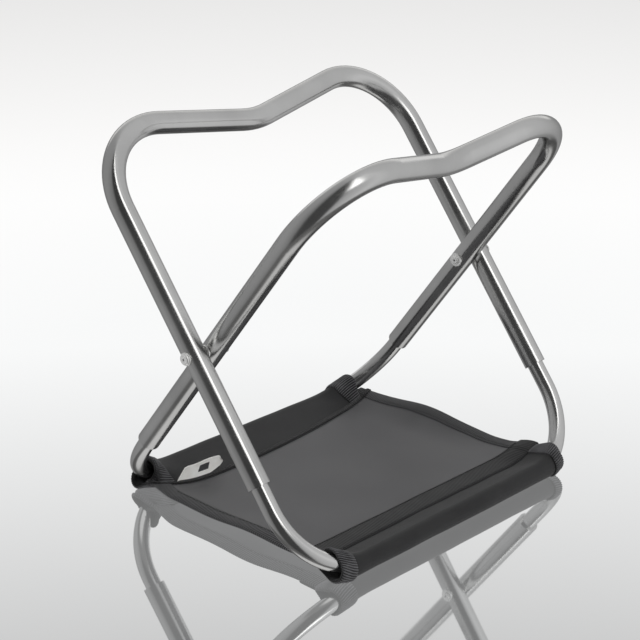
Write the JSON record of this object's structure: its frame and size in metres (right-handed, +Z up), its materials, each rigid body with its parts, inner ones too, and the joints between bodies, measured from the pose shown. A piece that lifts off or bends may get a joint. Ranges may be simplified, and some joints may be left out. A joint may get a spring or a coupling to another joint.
{
  "type": "folding camp stool",
  "caption": "Small folding camp stool: two crossed bent-tube frames riveted at the sides, with a flat cloth seat sleeved over both seat bars.",
  "frame": {"origin": "on the ground under the middle of the open stool", "axes": "+Z up, +X to the stool's right along its seat bars, +Y to the back, where the outer frame's seat bar is"},
  "size_m": [0.316, 0.2206, 0.2778],
  "materials": {
    "leg_tube": "polished",
    "seat_tube": "polished",
    "pivot_metal": "bright",
    "seat_cloth": "smooth coated",
    "sleeve_cloth": "plain weave",
    "binding_tape": "ribbed",
    "label_cloth": "satin"
  },
  "bodies": {
    "outer_frame": {"outer_leg_tube": "leg_tube", "outer_seat_tube": "seat_tube", "pivot_rivet_left": "pivot_metal", "pivot_rivet_right": "pivot_metal", "outer_washers": "pivot_metal", "spacer_washers": "pivot_metal", "inner_washers": "pivot_metal", "sleeve_outer": "sleeve_cloth", "sleeve_end_bindings_outer": "binding_tape"},
    "inner_frame": {"inner_leg_tube": "leg_tube", "inner_seat_tube": "seat_tube", "sleeve_inner": "sleeve_cloth", "sleeve_end_bindings_inner": "binding_tape"},
    "seat_half_outer": {"seat_panel_outer": "seat_cloth", "edge_bindings_outer": "binding_tape", "seam_band_outer": "binding_tape", "seat_corners_outer": "seat_cloth", "seat_panel_crease": "seat_cloth", "edge_bindings_crease": "binding_tape"},
    "seat_half_inner": {"seat_panel_inner": "seat_cloth", "edge_bindings_inner": "binding_tape", "seam_band_inner": "binding_tape", "seat_corners_inner": "seat_cloth", "seat_label": "label_cloth"}
  },
  "joints": [
    {"name": "frame_fold", "type": "hinge", "parent": "outer_frame", "child": "inner_frame", "pos_m": [0, 0, 0.13636], "axis": [-1, 0, 0], "range_deg": [0, 68]},
    {"name": "outer_half_swing", "type": "hinge", "parent": "outer_frame", "child": "seat_half_outer", "pos_m": [0, 0.10264, 0.27012], "axis": [1, 0, 0], "range_deg": [0, 51], "deforming": ["seat_panel_crease", "edge_bindings_crease", "seat_corners_outer"]},
    {"name": "inner_half_swing", "type": "hinge", "parent": "inner_frame", "child": "seat_half_inner", "pos_m": [0, -0.10264, 0.27012], "axis": [-1, 0, 0], "range_deg": [0, 51], "deforming": ["seat_corners_inner"]}
  ],
  "couplings": [
    {"joint": "outer_half_swing", "follows": "frame_fold", "ratio": 0.738},
    {"joint": "inner_half_swing", "follows": "frame_fold", "ratio": 0.738}
  ]
}
